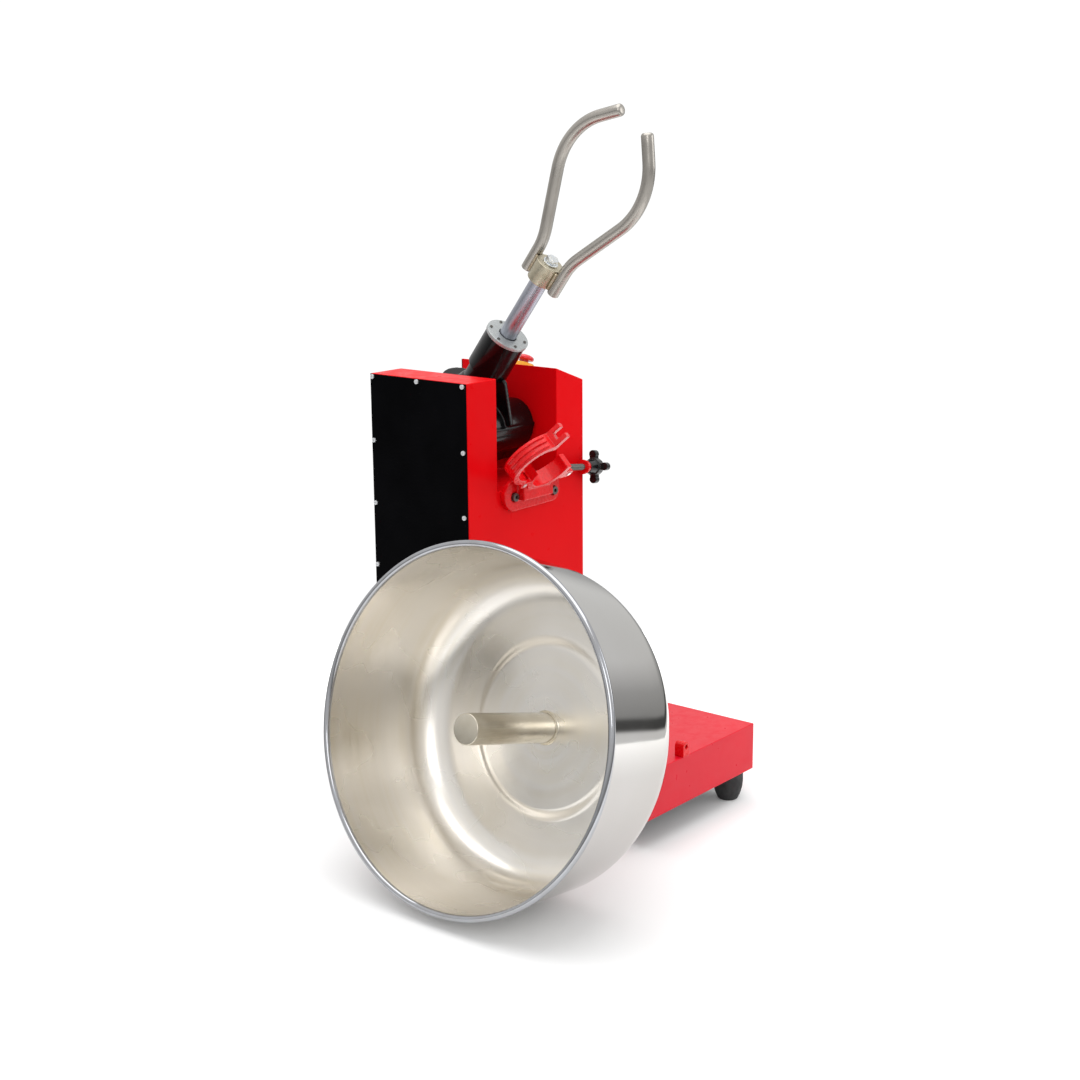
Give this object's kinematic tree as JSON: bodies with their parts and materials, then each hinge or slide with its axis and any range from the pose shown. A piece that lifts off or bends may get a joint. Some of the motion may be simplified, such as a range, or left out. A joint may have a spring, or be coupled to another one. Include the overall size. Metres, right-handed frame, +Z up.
{
  "type": "fork dough mixer",
  "caption": "Dough mixer with a two-pronged fork on a tilting head, red cabinet on a long base, hinged tube clamp and a loose steel bowl on its side.",
  "frame": {"origin": "middle of the floor area that the mixer and its bowl cover, on the floor", "axes": "+X to the operator's right, -Y towards the front of the base, +Z up"},
  "size_m": [0.74, 0.7745, 1.1319],
  "materials": {
    "red_enamel": "gloss",
    "red_casting": "gloss",
    "black_sheet": "satin",
    "black_enamel": "gloss",
    "dark_sheet": "satin",
    "motor_paint": "satin",
    "rubber": "matt",
    "black_plastic": "gloss",
    "yellow_plastic": "satin",
    "red_plastic": "gloss",
    "green_plastic": "gloss",
    "zinc": "satin",
    "ground_steel": "polished",
    "grey_steel": "satin",
    "bronze": "satin",
    "cast_aluminium": "satin",
    "fork_stainless": "satin",
    "bowl_stainless": "polished"
  },
  "bodies": {
    "cabinet": {"base_box": "red_enamel", "base_plate": "dark_sheet", "rubber_feet": "rubber", "foot_screws": "zinc", "cabinet_shell": "red_enamel", "left_cover": "black_sheet", "left_cover_screws": "zinc", "rear_cover": "black_sheet", "rear_cover_screws": "zinc", "bearing_plates": "grey_steel", "pivot_bushes": "bronze", "pivot_caps": "grey_steel", "control_box": "dark_sheet", "estop_collar": "yellow_plastic", "start_collar": "black_plastic", "cable_gland": "black_plastic", "motor": "motor_paint", "motor_bracket": "dark_sheet", "drive_belt": "rubber", "clamp_saddle": "red_casting", "clamp_bolts": "zinc", "strap_pin": "zinc", "swing_pin": "zinc", "bowl_seat": "grey_steel", "seat_screws": "zinc", "bowl_lug": "red_casting"},
    "head": {"head_casting": "black_enamel", "gearbox_cover": "black_enamel", "gearbox_screws": "zinc", "bearing_tube": "black_enamel", "shaft_bearings": "ground_steel", "bearing_flange": "ground_steel", "flange_screws": "zinc", "shaft_seal": "rubber", "worm_bearings": "ground_steel"},
    "fork": {"fork_shaft": "ground_steel", "worm_wheel": "bronze", "fork_hub": "fork_stainless", "fork_prong_upper": "fork_stainless", "fork_prong_lower": "fork_stainless", "fork_washer": "zinc", "fork_screw": "zinc"},
    "worm_drive": {"drive_shaft": "ground_steel", "worm": "ground_steel", "drive_pulley": "cast_aluminium"},
    "motor_drive": {"motor_pulley": "cast_aluminium"},
    "estop": {"estop_button": "red_plastic"},
    "start": {"start_button": "green_plastic"},
    "strap": {"clamp_strap": "red_casting"},
    "bolt": {"swing_bolt": "zinc", "clamp_collar": "red_casting"},
    "knob": {"star_knob": "black_plastic"},
    "bowl_bearing": {"bowl_foot": "grey_steel"},
    "bowl": {"bowl_shell": "bowl_stainless", "bowl_post": "bowl_stainless", "post_bushes": "bronze", "bowl_plate": "bowl_stainless", "bowl_plate_screws": "zinc"}
  },
  "joints": [
    {"name": "head_tilt", "type": "hinge", "parent": "cabinet", "child": "head", "pos_m": [0.18831, 0.24626, 0.6], "axis": [1, 0, 0], "range_deg": [0, 98]},
    {"name": "fork_spin", "type": "hinge", "parent": "head", "child": "fork", "pos_m": [0.18831, 0.19814, 0.76157], "axis": [0, -0.6018, 0.7986], "continuous": true},
    {"name": "worm_spin", "type": "hinge", "parent": "head", "child": "worm_drive", "pos_m": [0.18831, 0.24626, 0.6], "axis": [1, 0, 0], "continuous": true},
    {"name": "motor_spin", "type": "hinge", "parent": "cabinet", "child": "motor_drive", "pos_m": [0.18831, 0.26426, 0.33], "axis": [1, 0, 0], "continuous": true},
    {"name": "estop_press", "type": "slide", "parent": "cabinet", "child": "estop", "axis": [-0.349, 0, -0.9371], "range_m": [0, 0.004]},
    {"name": "start_press", "type": "slide", "parent": "cabinet", "child": "start", "axis": [-0.349, 0, -0.9371], "range_m": [0, 0.003], "stiffness_N_per_m": 400},
    {"name": "strap_swing", "type": "hinge", "parent": "cabinet", "child": "strap", "pos_m": [0.13731, 0.13194, 0.53348], "axis": [0, -0.7071, -0.7071], "range_deg": [-74, 25]},
    {"name": "bolt_swing", "type": "hinge", "parent": "cabinet", "child": "bolt", "pos_m": [0.25031, 0.12982, 0.5356], "axis": [0, -0.7071, -0.7071], "range_deg": [0, 103]},
    {"name": "knob_turn", "type": "hinge", "parent": "bolt", "child": "knob", "pos_m": [0.25031, 0.12982, 0.5356], "axis": [0.9744, 0.1591, -0.1591], "continuous": true},
    {"name": "bowl_lift", "type": "hinge", "parent": "cabinet", "child": "bowl_bearing", "pos_m": [-0.0632, -0.11974, 0.0847], "axis": [0, 1, 0], "range_deg": [0, 75.2]},
    {"name": "bowl_spin", "type": "hinge", "parent": "bowl_bearing", "child": "bowl", "pos_m": [-0.10169, -0.11974, 0.22365], "axis": [-0.9668, 0, 0.2554], "continuous": true}
  ],
  "couplings": [
    {"joint": "worm_spin", "follows": "fork_spin", "ratio": -16},
    {"joint": "motor_spin", "follows": "fork_spin", "ratio": -34.286}
  ]
}
